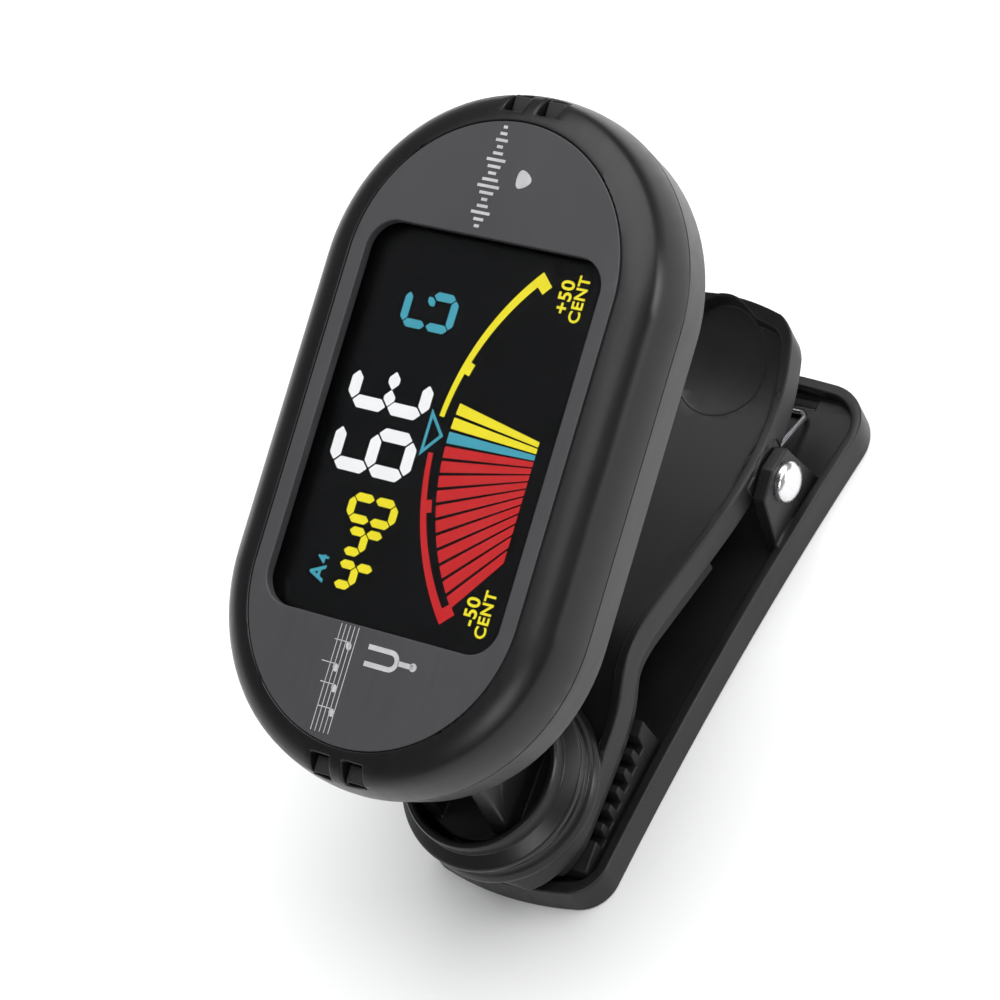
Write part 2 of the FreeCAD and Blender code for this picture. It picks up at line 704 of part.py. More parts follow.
def make_rear_case():
    """Rear casing: battery seat, screw bosses and the tongue that the fork holds."""
    outside = back_shell(head_depth, back_edge_radius, back_edge_depth, back_radius,
                         side_radius, parting_depth)
    inside = back_shell(-back_inside, inner_radius - 0.2, 8.0, back_radius - 1.0,
                        inner_radius, parting_depth)
    case = outside.cut(inside)
    rebate = stadium_disc(inner_radius + lip_width + lip_gap,
                          -parting_depth - lip_height - lip_gap, -parting_depth,
                          case_straight_half)
    case = case.cut(rebate)
    for end, side in corners:
        post = Part.makeCylinder(boss_radius, head_depth - parting_depth - 1,
                                 V(end * screw_x, side * screw_y, -head_depth + 1))
        case = case.fuse(post)
    well = Part.makeCylinder(cell_diameter / 2 + cell_gap + 0.9, 2.2,
                             V(cell_x, 0, back_inside - 0.2))
    case = case.fuse(well)
    seat = cover_outline(cover_gap, -head_depth - 1, -head_depth + cover_floor)
    case = case.cut(seat)
    rail_top = -head_depth + cover_floor
    rail_slot = block(cover_start - cover_gap, straight_half + side_radius + 5,
                      cover_half + cover_gap + rail_width, rail_top - rail_thickness - 0.15,
                      rail_top)
    case = case.cut(rail_slot)
    case = case.cut(Part.makeCylinder(cell_diameter / 2 + cell_gap, 8,
                                      V(cell_x, 0, -head_depth)))
    for end, side in corners:
        seat_point_here = screw_place(end, side)
        case = case.cut(Part.makeCylinder(screw_diameter / 2 + 0.05, 12,
                                          seat_point_here - V(0, 0, 1)))
        case = case.cut(Part.makeCylinder(screw_head_diameter / 2 + 0.1,
                                          screw_head_height + 0.1, seat_point_here))
    eye_x, eye_z = tilt_in_head.x, tilt_in_head.z
    tongue = cylinder_y(fork_arm_radius, -tongue_half, tongue_half, eye_x, eye_z)
    web = side_prism([(eye_x - fork_arm_radius, eye_z), (eye_x + fork_arm_radius, eye_z),
                      (eye_x + 4.6, -head_depth + 0.4), (eye_x - 2.9, -head_depth + 0.4)],
                     tongue_half)
    case = joined(case, tongue, web)
    bore = tilt_pin_diameter / 2 + tilt_clearance
    case = case.cut(cylinder_y(bore, -tongue_half, tongue_half, eye_x, eye_z))
    return on_head(case)


def make_battery_cover():
    """Sliding cover with rails in the casing's grooves and a ribbed thumb patch."""
    outside = back_shell(head_depth, back_edge_radius, back_edge_depth, back_radius,
                         side_radius, parting_depth)
    seat = -head_depth + cover_floor - 0.05
    plate = cover_outline(0, -head_depth - 1, seat).common(outside)
    rail_slot = block(cover_start, straight_half + back_radius - 6.5,
                      cover_half + rail_width, seat - rail_thickness, seat)
    cover = joined(plate, rail_slot.common(outside))
    for i in range(5):
        x = 19.0 + i * 1.1
        groove = Part.makeCylinder(0.3, 9, V(x, -4.5, -head_depth), ACROSS)
        cover = cover.cut(groove)
    return on_head(cover)


def make_coin_cell():
    low = -head_depth + cover_floor + 0.15
    can = Part.makeCylinder(cell_diameter / 2, cell_thickness - 0.6, V(cell_x, 0, low))
    cap = Part.makeCylinder(cell_diameter / 2 - 1.4, 0.6,
                            V(cell_x, 0, low + cell_thickness - 0.6))
    return on_head(joined(can, cap))


def make_negative_contact():
    """Leaf on the board that springs down on to the middle of the cell."""
    top = -head_depth + cover_floor + 0.15 + cell_thickness
    points = [(cell_x - 7, board_low), (cell_x - 3.5, board_low),
              (cell_x - 1.5, top + 0.25), (cell_x + 1.5, top + 0.25),
              (cell_x + 1.5, top), (cell_x - 1.8, top), (cell_x - 3.8, board_low - 0.25),
              (cell_x - 7, board_low - 0.25)]
    return on_head(side_prism(points, 1.5))


def make_positive_contact():
    """Spring tab from the board that bears on the cell's rim, in a gap in the well."""
    x = cell_x + cell_diameter / 2
    points = [(x + 2.6, board_low), (x + 0.05, board_low), (x + 0.05, board_low - 0.25),
              (x + 2.35, board_low - 0.25), (x + 2.6, board_low - 0.25)]
    foot = side_prism(points, 1.6)
    tab = block(x + 0.05, x + 0.25, 0.9, back_inside - 0.4, board_low - 0.1)
    return on_head(joined(foot, tab))


def make_piezo_sensor():
    """Vibration sensor: thin brass disc glued inside the casing beside the tongue."""
    disc = Part.makeCylinder(4.5, 0.45, V(-17.0, 0, back_inside))
    return on_head(disc)


def make_case_screws():
    screws = []
    for end, side in corners:
        seat = screw_place(end, side)
        head = Part.makeCylinder(screw_head_diameter / 2, screw_head_height, seat)
        slot_bar = Part.makeBox(screw_head_diameter, 0.4, 0.4,
                                seat - V(screw_head_diameter / 2, 0.2, 0))
        cross_bar = Part.makeBox(0.4, screw_head_diameter, 0.4,
                                 seat - V(0.2, screw_head_diameter / 2, 0))
        shank = Part.makeCylinder(screw_diameter / 2 - 0.1, screw_length,
                                  seat + V(0, 0, screw_head_height))
        screws.append(head.cut(slot_bar).cut(cross_bar).fuse(shank).removeSplitter())
    return on_head(Part.makeCompound(screws))


# ---- the whole tuner --------------------------------------------------------
pieces = {
    "back_lever": make_back_lever(),
    "hinge_pin": make_hinge_pin(),
    "torsion_spring": make_torsion_spring(),
    "front_lever": make_front_lever(),
    "jaw_liner": make_jaw_liner(),
    "jaw_pad": make_jaw_pad(),
    "swivel_collar": make_swivel_collar(),
    "friction_washer": make_friction_washer(),
    "swivel_fork": make_swivel_fork(),
    "swivel_screw": make_swivel_screw(),
    "tilt_pin": make_tilt_pin(),
    "front_case": make_front_case(),
    "face_plate": make_face_plate(),
    "display_lens": make_display_lens(),
    "display_frame": make_display_frame(),
    "lcd_panel": make_lcd_panel(),
    "backlight": make_backlight(),
    "contact_strip": make_contact_strip(),
    "circuit_board": make_circuit_board(),
    "tuner_chip": make_tuner_chip(),
    "crystal": make_crystal(),
    "power_key": make_key(-1, 1),
    "mode_key": make_key(-1, -1),
    "pitch_down_key": make_key(1, 1),
    "pitch_up_key": make_key(1, -1),
    "rear_case": make_rear_case(),
    "battery_cover": make_battery_cover(),
    "coin_cell": make_coin_cell(),
    "negative_contact": make_negative_contact(),
    "positive_contact": make_positive_contact(),
    "piezo_sensor": make_piezo_sensor(),
    "case_screws": make_case_screws(),
}

os.makedirs("parts", exist_ok=True)
for name, shape in pieces.items():
    if not shape.isValid():
        raise SystemExit(name + " is not a valid solid")
    solids = len(shape.Solids)
    print(f"{name:18s} solids {solids}  volume {shape.Volume:9.2f}  "
          f"z {shape.BoundBox.ZMin:6.2f} {shape.BoundBox.ZMax:6.2f}")
    shape.exportStep(os.path.join("parts", name + ".step"))
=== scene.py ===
import json
import math

import bmesh
import bpy
from mathutils import Euler, Matrix, Vector
from mathutils.bvhtree import BVHTree


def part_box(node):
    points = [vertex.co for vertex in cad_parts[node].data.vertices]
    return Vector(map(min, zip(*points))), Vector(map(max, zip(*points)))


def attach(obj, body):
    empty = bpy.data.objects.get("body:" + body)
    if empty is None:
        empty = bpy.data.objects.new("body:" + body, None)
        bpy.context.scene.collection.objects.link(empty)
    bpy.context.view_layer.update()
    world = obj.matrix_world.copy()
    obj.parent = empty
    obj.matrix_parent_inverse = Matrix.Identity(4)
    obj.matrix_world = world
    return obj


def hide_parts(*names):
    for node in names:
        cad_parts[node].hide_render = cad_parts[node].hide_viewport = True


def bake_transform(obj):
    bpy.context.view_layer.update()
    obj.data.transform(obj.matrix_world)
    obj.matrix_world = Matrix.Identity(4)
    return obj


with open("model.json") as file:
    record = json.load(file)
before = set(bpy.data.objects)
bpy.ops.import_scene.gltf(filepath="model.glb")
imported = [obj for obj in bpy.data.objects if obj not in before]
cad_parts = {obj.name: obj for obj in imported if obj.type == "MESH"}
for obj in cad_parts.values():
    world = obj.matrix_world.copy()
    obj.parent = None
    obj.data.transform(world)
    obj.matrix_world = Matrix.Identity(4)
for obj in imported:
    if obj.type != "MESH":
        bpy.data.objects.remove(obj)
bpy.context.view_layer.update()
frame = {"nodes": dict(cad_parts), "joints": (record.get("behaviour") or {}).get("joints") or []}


# ---- camera -----------------------------------------------------------------
# A long lens looks down on the tuner from the jaw end, with the head's finger
# end pointing up the frame.
scene = bpy.context.scene
scene.view_settings.view_transform = "Standard"
camera = bpy.data.objects.new("camera", bpy.data.cameras.new("camera"))
scene.collection.objects.link(camera)
camera.location = (-0.1350, -0.1817, 0.2805)
camera.rotation_euler = Euler([math.radians(turn) for turn in (36.984, 20.96, -60.764)])
camera.data.lens = 140.19
camera.data.sensor_width = 36
camera.data.clip_start = 0.01
camera.data.clip_end = 20
scene.camera = camera


# ---- back lever -------------------------------------------------------------
# The lever that lies behind the headstock: a shallow tray moulded in dark
# glass-filled nylon, with a raised rim, two ears for the pin and a slot.
MM = 0.001


def welded(node):
    """A copy of the CAD piece's skin as one closed form."""
    form = bmesh.new()
    form.from_mesh(frame["nodes"][node].data)
    bmesh.ops.remove_doubles(form, verts=form.verts, dist=0.002 * MM)
    return form


def ease_edges(form, radius, steps=3, sharper_than=28):
    """Rounds the corners of a moulding by a radius in millimetres.

    Where short edges crowd together a corner can run off. On a square corner a rounding
    stays within a third of its radius of the skin, so a point well past that is put back.
    """
    astray = 0.55 * radius
    bmesh.ops.scale(form, verts=form.verts, vec=(1 / MM, 1 / MM, 1 / MM))
    skin = BVHTree.FromBMesh(form)
    corners = [e for e in form.edges if e.is_manifold
               and e.calc_face_angle(0) > math.radians(sharper_than)]
    bmesh.ops.bevel(form, geom=corners, offset=radius, offset_type="OFFSET", segments=steps,
                    profile=0.5, affect="EDGES", clamp_overlap=False, material=-1)
    for v in form.verts:
        nearest, _, _, away = skin.find_nearest(v.co)
        if away > astray:
            v.co = nearest
    bmesh.ops.triangulate(form, faces=[face for face in form.faces if len(face.verts) > 4],
                          quad_method="BEAUTY", ngon_method="EAR_CLIP")
    bmesh.ops.scale(form, verts=form.verts, vec=(MM, MM, MM))


def piece_from(form, name, smooth_under=38):
    """Ends a form: a smooth-shaded object at the origin, its place in its mesh."""
    mesh = bpy.data.meshes.new(name)
    form.to_mesh(mesh)
    form.free()
    mesh.shade_smooth()
    mesh.set_sharp_from_angle(angle=math.radians(smooth_under))
    piece = bpy.data.objects.new(name, mesh)
    scene.collection.objects.link(piece)
    shading = piece.modifiers.new("flat faces stay flat", "WEIGHTED_NORMAL")
    shading.keep_sharp = True
    return piece


def fit(piece, body, slot, finish, *stands_for):
    """Fits a piece to its body with its finish."""
    piece.data.materials.clear()
    piece.data.materials.append(finish)
    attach(piece, body)
    if stands_for:
        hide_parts(*stands_for)
    return piece


def moulded_plastic(name, dark, light, roughness, grain=0.12, relief=0.6, clouds=6.0,
                    gloss=0.3, scuffs=0.05):
    """Moulded plastic: spark-eroded grain, cloudy shine and a few fine scuffs."""
    material = bpy.data.materials.new(name)
    material.use_nodes = True
    nodes = material.node_tree.nodes
    link = material.node_tree.links.new
    shader = nodes["Principled BSDF"]
    shader.inputs["IOR"].default_value = 1.5
    shader.inputs["Specular IOR Level"].default_value = gloss
    where = nodes.new("ShaderNodeTexCoord").outputs["Object"]

    cloud = nodes.new("ShaderNodeTexNoise")
    cloud.inputs["Scale"].default_value = 1 / (clouds * MM)
    cloud.inputs["Detail"].default_value = 4
    link(where, cloud.inputs["Vector"])
    tint = nodes.new("ShaderNodeValToRGB")
    tint.color_ramp.elements[0].position = 0.3
    tint.color_ramp.elements[0].color = (*dark, 1)
    tint.color_ramp.elements[1].position = 0.75
    tint.color_ramp.elements[1].color = (*light, 1)
    link(cloud.outputs["Fac"], tint.inputs["Fac"])
    link(tint.outputs["Color"], shader.inputs["Base Color"])

    scuff_place = nodes.new("ShaderNodeMapping")
    scuff_place.inputs["Rotation"].default_value = (0.3, 0.5, 0.9)
    scuff_place.inputs["Scale"].default_value = (1, 14, 5)
    link(where, scuff_place.inputs["Vector"])
    scuff = nodes.new("ShaderNodeTexNoise")
    scuff.inputs["Scale"].default_value = 1 / (9 * MM)
    scuff.inputs["Detail"].default_value = 6
    link(scuff_place.outputs["Vector"], scuff.inputs["Vector"])
    shine = nodes.new("ShaderNodeMapRange")
    shine.inputs["From Min"].default_value = 0.3
    shine.inputs["From Max"].default_value = 0.7
    shine.inputs["To Min"].default_value = roughness - scuffs
    shine.inputs["To Max"].default_value = roughness + scuffs
    link(scuff.outputs["Fac"], shine.inputs["Value"])
    link(shine.outputs["Result"], shader.inputs["Roughness"])

    spark = nodes.new("ShaderNodeTexNoise")
    spark.inputs["Scale"].default_value = 1 / (grain * MM)
    spark.inputs["Detail"].default_value = 3
    spark.inputs["Roughness"].default_value = 0.65
    link(where, spark.inputs["Vector"])
    bump = nodes.new("ShaderNodeBump")
    bump.inputs["Strength"].default_value = relief
    bump.inputs["Distance"].default_value = 0.012 * MM
    link(spark.outputs["Fac"], bump.inputs["Height"])
    link(bump.outputs["Normal"], shader.inputs["Normal"])
    return material


lever_nylon = moulded_plastic("lever nylon", (0.0085, 0.0082, 0.009), (0.0125, 0.012, 0.013),
                              0.38, grain=0.14, relief=0.5)
lever = welded("back_lever")
ease_edges(lever, 0.22)
fit(piece_from(lever, "back_lever_moulding"), "back_lever", "lever_plastic", lever_nylon,
    "back_lever")


# ---- hinge pin --------------------------------------------------------------
# Nickel-plated steel pin through both levers, its ends peened over to low domes
# with a flat where the riveting tool bore.
hinge = next(joint for joint in frame["joints"] if joint["name"] == "clip_hinge")
hinge_place = Matrix.Translation(hinge["pos_m"])


def plated_steel(name, colour, roughness, scratch=0.05, across=(1, 1, 1)):
    """Bright metal with fine drawn scratches and slight cloudiness."""
    material = bpy.data.materials.new(name)
    material.use_nodes = True
    nodes = material.node_tree.nodes
    link = material.node_tree.links.new
    shader = nodes["Principled BSDF"]
    shader.inputs["Metallic"].default_value = 1
    where = nodes.new("ShaderNodeTexCoord").outputs["Object"]
    stretch = nodes.new("ShaderNodeMapping")
    stretch.inputs["Scale"].default_value = across
    link(where, stretch.inputs["Vector"])
    lines = nodes.new("ShaderNodeTexNoise")
    lines.inputs["Scale"].default_value = 1 / (0.25 * MM)
    lines.inputs["Detail"].default_value = 5
    link(stretch.outputs["Vector"], lines.inputs["Vector"])
    shine = nodes.new("ShaderNodeMapRange")
    shine.inputs["To Min"].default_value = max(roughness - scratch, 0.02)
    shine.inputs["To Max"].default_value = roughness + scratch
    link(lines.outputs["Fac"], shine.inputs["Value"])
    link(shine.outputs["Result"], shader.inputs["Roughness"])
    tint = nodes.new("ShaderNodeMix")
    tint.data_type = "RGBA"
    tint.inputs["A"].default_value = (*[0.86 * part for part in colour], 1)
    tint.inputs["B"].default_value = (*colour, 1)
    link(lines.outputs["Fac"], tint.inputs["Factor"])
    link(tint.outputs["Result"], shader.inputs["Base Color"])
    bump = nodes.new("ShaderNodeBump")
    bump.inputs["Strength"].default_value = 0.25
    bump.inputs["Distance"].default_value = 0.004 * MM
    link(lines.outputs["Fac"], bump.inputs["Height"])
    link(bump.outputs["Normal"], shader.inputs["Normal"])
    return material


def turned(outline, steps=72):
    """Turns a closed half section of (radius, height) corners about Z."""
    form = bmesh.new()
    ring = [form.verts.new((radius * MM, 0, height * MM)) for radius, height in outline]
    for corner, following in zip(ring, ring[1:]):
        form.edges.new((corner, following))
    bmesh.ops.spin(form, geom=form.verts[:] + form.edges[:], axis=(0, 0, 1), cent=(0, 0, 0),
                   dvec=(0, 0, 0), angle=math.tau, steps=steps, use_merge=True)
    bmesh.ops.remove_doubles(form, verts=form.verts, dist=0.001 * MM)
    bmesh.ops.recalc_face_normals(form, faces=form.faces)
    return form


bright_nickel = plated_steel("bright nickel", (0.86, 0.86, 0.87), 0.27)
lowest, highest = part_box("hinge_pin")
pin_half = highest.y / MM
pin = turned([(0, 0), (1.0, 0), (1.0, pin_half - 1.2), (1.95, pin_half - 1.2),
              (1.95, pin_half - 0.75), (1.86, pin_half - 0.52), (1.55, pin_half - 0.28),
              (1.1, pin_half - 0.1), (0.6, pin_half - 0.02), (0, pin_half)], 64)
ease_edges(pin, 0.06, sharper_than=35)
pin.transform(Matrix.Rotation(-math.pi / 2, 4, "X"))
bmesh.ops.mirror(pin, geom=pin.verts[:] + pin.edges[:] + pin.faces[:],
                 matrix=Matrix.Identity(4), merge_dist=0.001 * MM, axis="Y")
bmesh.ops.recalc_face_normals(pin, faces=pin.faces)
pin.transform(hinge_place)
fit(piece_from(pin, "riveted_pin"), "back_lever", "pin_plating", bright_nickel, "hinge_pin")


# ---- jaw pad ----------------------------------------------------------------
# Moulded rubber wedge glued into the back lever's tray, with cross teeth that
# bite the back of the headstock.
def soft_rubber(name, dark, light, roughness=0.62):
    """Rubber: matt, finely pitted, with dusty paler patches."""
    return moulded_plastic(name, dark, light, roughness, grain=0.2, relief=0.8, clouds=2.5)


jaw_rubber = soft_rubber("jaw rubber", (0.008, 0.008, 0.009), (0.013, 0.013, 0.014), 0.55)
pad = welded("jaw_pad")
ease_edges(pad, 0.17)
fit(piece_from(pad, "toothed_pad"), "back_lever", "jaw_rubber", jaw_rubber, "jaw_pad")


# ---- spring -----------------------------------------------------------------
# Double torsion spring wound from one steel wire: a coil each side on the pin,
# legs up under the front lever, and a bail across the back lever's slot.
wire_radius = 0.3
coil_radius = 1.4
coil_turns = 4
coil_span = 2.3
coil_room = 0.05
leg_length = 6.4
bend = 0.8
lowest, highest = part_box("torsion_spring")
bail_x = highest.x / MM - wire_radius
bail_z = lowest.z / MM + wire_radius
pivot = Vector(hinge["pos_m"]) / MM


def wire_ring(form, middle, facing):
    """A round section of the spring's wire, square to the way it runs."""
    turn = Vector(facing).to_track_quat("Z", "Y").to_matrix().to_4x4()
    place = Matrix.Translation(Vector(middle) * MM) @ turn
    made = bmesh.ops.create_circle(form, cap_ends=False, segments=14,
                                   radius=wire_radius * MM, matrix=place)
    return made["verts"] + list({e for v in made["verts"] for e in v.link_edges})


def run_on(form, ring, step):
    """Draws the wire on in a straight line."""
    edges = [part for part in ring if isinstance(part, bmesh.types.BMEdge)]
    made = bmesh.ops.extrude_edge_only(form, edges=edges)["geom"]
    verts = [part for part in made if isinstance(part, bmesh.types.BMVert)]
    bmesh.ops.translate(form, verts=verts, vec=Vector(step) * MM)
    return [part for part in made if not isinstance(part, bmesh.types.BMFace)]


def bend_on(form, ring, centre, axis, angle, steps, climb=0.0):
    """Winds the wire on round an axis, climbing along it in all by climb."""
    made = bmesh.ops.spin(form, geom=ring, cent=Vector(centre) * MM, axis=axis,
                          dvec=Vector(axis).normalized() * climb * MM / steps,
                          angle=angle, steps=steps, use_merge=False)
    return made["geom_last"]


bail_slope = math.atan2(bail_z - (pivot.z - coil_radius), bail_x - pivot.x + 0.5)
bail_start = bail_slope - math.pi / 2
coil_travel = bail_start + math.tau * coil_turns - math.pi / 2
coil_last = highest.y / MM - wire_radius - coil_room
coil_first = coil_last - coil_span
spring = bmesh.new()
coil_top = Vector((pivot.x, coil_first, pivot.z + coil_radius))
ring = wire_ring(spring, coil_top + Vector((leg_length, 0, 0)), (-1, 0, 0))
spring.faces.new([part for part in ring if isinstance(part, bmesh.types.BMVert)])
ring = run_on(spring, ring, (-leg_length, 0, 0))
ring = bend_on(spring, ring, (pivot.x, coil_first, pivot.z), (0, -1, 0), coil_travel, 90,
               coil_first - coil_last)
coil_bottom = Vector((pivot.x + coil_radius * math.cos(bail_start), coil_last,
                      pivot.z + coil_radius * math.sin(bail_start)))
bail_way = Vector((math.cos(bail_slope), 0, math.sin(bail_slope)))
bail_run = (Vector((bail_x, coil_last, bail_z)) - coil_bottom).length - bend
ring = run_on(spring, ring, bail_way * bail_run)
bend_middle = coil_bottom + bail_way * bail_run - Vector((0, bend, 0))
ring = bend_on(spring, ring, bend_middle, bail_way.cross(Vector((0, 1, 0))), -math.pi / 2, 8)
run_on(spring, ring, (0, bend - coil_last, 0))
bmesh.ops.mirror(spring, geom=spring.verts[:] + spring.edges[:] + spring.faces[:],
                 matrix=Matrix.Identity(4), merge_dist=0.02 * MM, axis="Y")
bmesh.ops.remove_doubles(spring, verts=spring.verts, dist=0.005 * MM)
bmesh.ops.recalc_face_normals(spring, faces=spring.faces)
spring_wire = plated_steel("spring wire", (0.55, 0.55, 0.57), 0.24, across=(0.3, 3, 3))
wound = piece_from(spring, "wound_spring")
wound.data.materials.append(spring_wire)
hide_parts("torsion_spring")
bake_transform(wound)


# ---- front lever ------------------------------------------------------------
# The lever that the player presses: a moulded channel with side rims, a
# dished finger pad, and lugs under it that turn on the pin.
front = welded("front_lever")
ease_edges(front, 0.2)
fit(piece_from(front, "front_lever_moulding"), "front_lever", "lever_plastic", lever_nylon,
    "front_lever")


# ---- jaw liner --------------------------------------------------------------
# Soft elastomer sheet glued under the front lever, from the jaw to near the pin,
# so that the clip doesn't mark the wood.
liner_rubber = soft_rubber("liner rubber", (0.012, 0.012, 0.013), (0.018, 0.018, 0.02), 0.5)
liner = welded("jaw_liner")
ease_edges(liner, 0.2)
fit(piece_from(liner, "soft_liner"), "front_lever", "jaw_rubber", liner_rubber, "jaw_liner")


# ---- swivel cup -------------------------------------------------------------
# Ribbed socket pressed on the front lever, in which the fork turns: a skirt, a
# ring, a groove, a flange and a plain wall with a rounded rim.
swivel = next(joint for joint in frame["joints"] if joint["name"] == "swivel")
cup_axis = Vector(swivel["axis"])
cup_place = Matrix.Translation(swivel["pos_m"]) @ Vector((0, 0, 1)).rotation_difference(
    cup_axis).to_matrix().to_4x4()
cup_plastic = moulded_plastic("cup plastic", (0.0075, 0.0075, 0.008), (0.0105, 0.0102, 0.011),
                              0.3, grain=0.1, relief=0.25, scuffs=0.02)
cup = turned([(1.55, -5.7), (9.2, -5.7), (9.2, -5.3), (8.95, -4.75), (8.6, -4.45),
              (8.66, -4.15), (8.62, -3.85), (8.1, -3.6), (8.1, -3.3), (8.86, -3.05),
              (9.0, -2.75), (9.0, -2.4), (8.8, -2.2), (7.72, -1.55), (7.68, -0.35),
              (7.5, 0), (7.08, 0), (6.9, -0.2), (6.9, -4.2), (1.55, -4.2), (1.55, -5.7)], 112)
ease_edges(cup, 0.1, sharper_than=24)
cup.transform(cup_place)
fit(piece_from(cup, "ribbed_cup"), "front_lever", "collar_plastic", cup_plastic,
    "swivel_collar")


# ---- washer, fork, screw and tilt pin ---------------------------------------
# A nylon washer sets the swivel's drag.  The fork is moulded in the same plastic
# as the cup; a shoulder screw holds it down, and a steel pin crosses its arms.
nylon = moulded_plastic("washer nylon", (0.62, 0.60, 0.55), (0.72, 0.71, 0.66), 0.45)
zinc = plated_steel("zinc plate", (0.48, 0.48, 0.50), 0.3, across=(1, 1, 6))
for node, piece_name, edge, body, slot_name, finish in (
        ("friction_washer", "drag_washer", 0.08, "front_lever", "washer_nylon", nylon),
        ("swivel_fork", "turning_fork", 0.22, "fork", "collar_plastic", cup_plastic),
        ("swivel_screw", "shoulder_screw", 0.1, "fork", "screw_steel", zinc),
        ("tilt_pin", "cross_pin", 0.12, "fork", "screw_steel", zinc)):
    form = welded(node)
    ease_edges(form, edge)
    fit(piece_from(form, piece_name), body, slot_name, finish, node)


# ---- head casing ------------------------------------------------------------
# Two mouldings that snap together at a fine step and are drawn up by four
# screws: a bezel with a domed shoulder, and a rounded back with the tongue.
along = Vector(next(j for j in frame["joints"] if j["name"] == "battery_cover_slide")["axis"])
outward = -Vector(next(j for j in frame["joints"] if j["name"] == "power_key_press")["axis"])
lowest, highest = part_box("face_plate")
plate_thickness = 1.0
face_middle = (lowest + highest) / 2 + outward * (plate_thickness / 2 * MM)
head_place = Matrix.Translation(face_middle) @ Matrix(
    (along, (0, 1, 0), outward)).transposed().to_4x4()

case_plastic = moulded_plastic("case plastic", (0.0045, 0.0044, 0.0048), (0.0065, 0.0063, 0.0069),
                               0.33, grain=0.11, relief=0.35, scuffs=0.03)
bezel = welded("front_case")
ease_edges(bezel, 0.14)
fit(piece_from(bezel, "bezel"), "head", "case_plastic", case_plastic, "front_case")
back = welded("rear_case")
ease_edges(back, 0.16)
fit(piece_from(back, "back_shell"), "head", "case_plastic", case_plastic, "rear_case")


# ---- face plate -------------------------------------------------------------
# Grey satin-painted plate let into the bezel, with the display's window.
plate_paint = moulded_plastic("plate paint", (0.043, 0.041, 0.0445), (0.05, 0.048, 0.052),
                              0.42, grain=0.07, relief=0.35, clouds=11)


def on_face(form, low, thick):
    """Gives flat drawn shapes their thickness and puts them on the head's face."""
    bmesh.ops.recalc_face_normals(form, faces=form.faces)
    down = [face for face in form.faces if face.normal.z < 0]
    bmesh.ops.reverse_faces(form, faces=down)
    made = bmesh.ops.extrude_face_region(form, geom=form.faces[:])
    raised = [part for part in made["geom"] if isinstance(part, bmesh.types.BMVert)]
    bmesh.ops.translate(form, verts=raised, vec=(0, 0, thick))
    bmesh.ops.recalc_face_normals(form, faces=form.faces)
    bmesh.ops.translate(form, verts=form.verts, vec=(0, 0, low))
    bmesh.ops.scale(form, verts=form.verts, vec=(MM, MM, MM))
    form.transform(head_place)


plate_radius = 13.5
plate_straight_half = 13.69
plate_sides = 120
window_long, window_wide = 17, 12
window_corner = 2.7
plate = bmesh.new()
round_end = bmesh.ops.create_circle(plate, cap_ends=False, segments=plate_sides,
                                    radius=plate_radius,
                                    matrix=Matrix.Rotation(math.pi / plate_sides, 4, "Z"))
for v in round_end["verts"]:
    v.co.x += math.copysign(plate_straight_half, v.co.x)
window = plate.faces.new([plate.verts.new((x * window_long, y * window_wide, 0))
                          for x, y in ((-1, -1), (1, -1), (1, 1), (-1, 1))])
bmesh.ops.bevel(plate, geom=window.verts[:], offset=window_corner, offset_type="OFFSET",
                segments=12, profile=0.5, affect="VERTICES", clamp_overlap=True, material=-1)
bmesh.ops.delete(plate, geom=plate.faces[:], context="FACES_ONLY")
bmesh.ops.bridge_loops(plate, edges=plate.edges[:])
on_face(plate, -plate_thickness, plate_thickness)
ease_edges(plate, 0.1)
fit(piece_from(plate, "face_plate_painted"), "head", "plate_paint", plate_paint, "face_plate")


# ---- printed marks ----------------------------------------------------------
# Silver pad print on the plate: a stave and a tuning fork at the clip's end, and
# a sound wave over a plectrum at the other.
print_height = 0.02


def patch(form, *corners, rounding=0.0):
    """A flat patch from its corners, which may be rounded."""
    face = form.faces.new([form.verts.new((x, y, 0)) for x, y in corners])
    if rounding:
        bmesh.ops.bevel(form, geom=face.verts[:], offset=rounding, offset_type="OFFSET",
                        segments=3, profile=0.5, affect="VERTICES", clamp_overlap=True,
                        material=-1)


def strip(form, x0, y0, x1, y1):
    patch(form, (x0, y0), (x1, y0), (x1, y1), (x0, y1))


def dot(form, x, y, radius, squash=1.0, turn=0.0):
    """A round or oval printed dot."""
    place = Matrix.Translation((x, y, 0)) @ Matrix.Rotation(turn, 4, "Z")
    bmesh.ops.create_circle(form, cap_ends=True, segments=28, radius=radius,
                            matrix=place @ Matrix.Diagonal((1, squash, 1, 1)))


def arc_band(form, x, y, inner, outer, start, sweep, steps, thicken=0.0):
    """A curved band about a centre; thicken widens it inwards along its sweep."""
    first, second = (form.verts.new((x + radius * math.sin(start),
                                     y + radius * math.cos(start), 0))
                     for radius in (inner, outer))
    edge = form.edges.new((first, second))
    bmesh.ops.spin(form, geom=[first, second, edge], cent=(x, y, 0), axis=(0, 0, 1),
                   dvec=(0, 0, 0), angle=-sweep, steps=steps, use_merge=False)
    if thicken:
        for v in form.verts:
            reach = Vector((v.co.x - x, v.co.y - y, 0))
            if abs(reach.length - inner) < 1e-4:
                turned_by = abs(math.atan2(reach.x, reach.y))
                v.co -= reach.normalized() * thicken * turned_by


